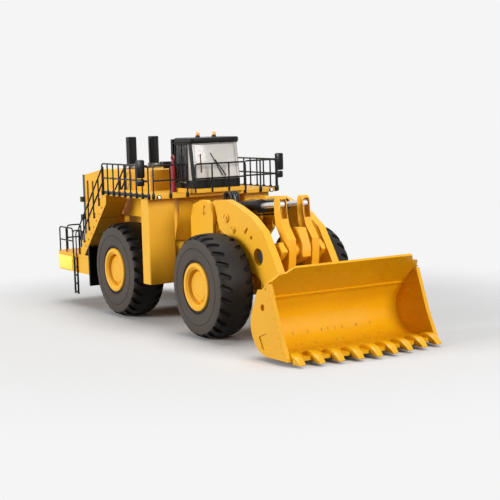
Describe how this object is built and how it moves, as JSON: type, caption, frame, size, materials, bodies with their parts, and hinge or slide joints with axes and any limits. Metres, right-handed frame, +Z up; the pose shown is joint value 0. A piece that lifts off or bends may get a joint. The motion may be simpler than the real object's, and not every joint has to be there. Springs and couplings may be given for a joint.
{
  "type": "scale model wheel loader",
  "caption": "Die-cast scale model of a large articulated wheel loader with a toothed spade-edge bucket on lift arms, a railed deck with a cab, and rear stairs.",
  "frame": {"origin": "on the ground under the middle of the whole model", "axes": "+X forward towards the bucket, +Y to the machine's left, +Z up"},
  "size_m": [0.377, 0.1228, 0.1414],
  "materials": {
    "yellow_paint": "satin golden yellow paint on die-cast metal",
    "black_plastic": "semi-matt black moulded plastic",
    "dark_grey_plastic": "matt dark grey moulded plastic",
    "black_rubber": "matt black soft rubber",
    "tyre_rubber": "matt warm dark grey tyre rubber",
    "silver": "satin silver",
    "chrome": "bright plated",
    "clear_glazing": "clear glazing",
    "amber_lens": "glossy amber lens",
    "red_plastic": "glossy red"
  },
  "bodies": {
    "rear": {"rear_frame": "yellow_paint", "rear_axle": "yellow_paint", "rear_bumper": "yellow_paint", "rear_platform": "black_plastic", "stairs": "yellow_paint", "mudflaps": "black_rubber", "side_tanks": "yellow_paint", "deck": "yellow_paint", "engine_hood": "yellow_paint", "radiator_grille": "dark_grey_plastic", "exhaust_stacks": "black_plastic", "stack_collars": "silver", "air_precleaner": "black_plastic", "cab_shell": "black_plastic", "cab_glass": "clear_glazing", "cab_roof": "yellow_paint", "rollover_frame": "black_plastic", "operator_seat": "dark_grey_plastic", "control_console": "dark_grey_plastic", "beacons": "amber_lens", "fire_extinguisher": "red_plastic", "mirrors": "black_plastic", "deck_railing": "black_plastic", "stair_railing": "black_plastic", "platform_railing": "black_plastic", "boarding_ladders": "black_plastic"},
    "front": {"front_frame": "yellow_paint", "front_axle": "yellow_paint", "hydraulic_hoses": "black_rubber"},
    "boom": {"boom": "yellow_paint"},
    "levers": {"tilt_levers": "yellow_paint"},
    "links": {"tilt_links": "yellow_paint"},
    "bucket": {"bucket": "yellow_paint", "bucket_teeth": "yellow_paint"},
    "lift_barrels": {"lift_barrels": "black_plastic"},
    "lift_rods": {"lift_rods": "chrome"},
    "tilt_barrels": {"tilt_barrels": "black_plastic"},
    "tilt_rods": {"tilt_rods": "chrome"},
    "front_right_wheel": {"front_right_tyre": "tyre_rubber", "front_right_rim": "yellow_paint"},
    "front_left_wheel": {"front_left_tyre": "tyre_rubber", "front_left_rim": "yellow_paint"},
    "rear_right_wheel": {"rear_right_tyre": "tyre_rubber", "rear_right_rim": "yellow_paint"},
    "rear_left_wheel": {"rear_left_tyre": "tyre_rubber", "rear_left_rim": "yellow_paint"}
  },
  "joints": [
    {"name": "steer", "type": "hinge", "parent": "rear", "child": "front", "pos_m": [-0.01052, 0, 0.044], "axis": [0, 0, 1], "range_deg": [-35, 35]},
    {"name": "boom_lift", "type": "hinge", "parent": "front", "child": "boom", "pos_m": [0.01947, 0, 0.0856], "axis": [0, -1, 0], "range_deg": [0, 70]},
    {"name": "bucket_tilt", "type": "hinge", "parent": "boom", "child": "bucket", "pos_m": [0.12147, 0, 0.0135], "axis": [0, 1, 0], "range_deg": [-38, 100]},
    {"name": "lever_swing", "type": "hinge", "parent": "boom", "child": "levers", "pos_m": [0.10247, 0, 0.062], "axis": [0, 1, 0], "range_deg": [-19.45, 8.01]},
    {"name": "link_swing", "type": "hinge", "parent": "bucket", "child": "links", "pos_m": [0.12448, 0, 0.0245], "axis": [0, 1, 0], "range_deg": [-82.52, 31.98]},
    {"name": "tilt_barrel_swing", "type": "hinge", "parent": "boom", "child": "tilt_barrels", "pos_m": [0.01947, 0, 0.0856], "axis": [0, 1, 0], "range_deg": [-1.89, 3.34]},
    {"name": "tilt_rod_slide", "type": "slide", "parent": "tilt_barrels", "child": "tilt_rods", "axis": [0.9953, 0, 0.0965], "range_m": [-0.0102, 0.0042]},
    {"name": "lift_barrel_swing", "type": "hinge", "parent": "front", "child": "lift_barrels", "pos_m": [0.02247, 0, 0.046], "axis": [0, -1, 0], "range_deg": [-1, 50.02]},
    {"name": "lift_rod_slide", "type": "slide", "parent": "lift_barrels", "child": "lift_rods", "axis": [0.9615, 0, 0.2747], "range_m": [-0.0005, 0.0403]},
    {"name": "front_right_spin", "type": "hinge", "parent": "front", "child": "front_right_wheel", "pos_m": [0.05348, -0.041, 0.0365], "axis": [0, 1, 0], "continuous": true},
    {"name": "front_left_spin", "type": "hinge", "parent": "front", "child": "front_left_wheel", "pos_m": [0.05348, 0.041, 0.0365], "axis": [0, 1, 0], "continuous": true},
    {"name": "rear_right_spin", "type": "hinge", "parent": "rear", "child": "rear_right_wheel", "pos_m": [-0.07452, -0.041, 0.0365], "axis": [0, 1, 0], "continuous": true},
    {"name": "rear_left_spin", "type": "hinge", "parent": "rear", "child": "rear_left_wheel", "pos_m": [-0.07452, 0.041, 0.0365], "axis": [0, 1, 0], "continuous": true}
  ],
  "couplings": [
    {"joint": "lever_swing", "follows": "bucket_tilt", "ratio": -0.1845},
    {"joint": "link_swing", "follows": "bucket_tilt", "ratio": -0.8152},
    {"joint": "tilt_barrel_swing", "follows": "bucket_tilt", "ratio": 0.0234},
    {"joint": "tilt_rod_slide", "follows": "bucket_tilt", "m_per_rad": -0.005583},
    {"joint": "lift_barrel_swing", "follows": "boom_lift", "ratio": 0.7003},
    {"joint": "lift_rod_slide", "follows": "boom_lift", "m_per_rad": 0.032594}
  ]
}
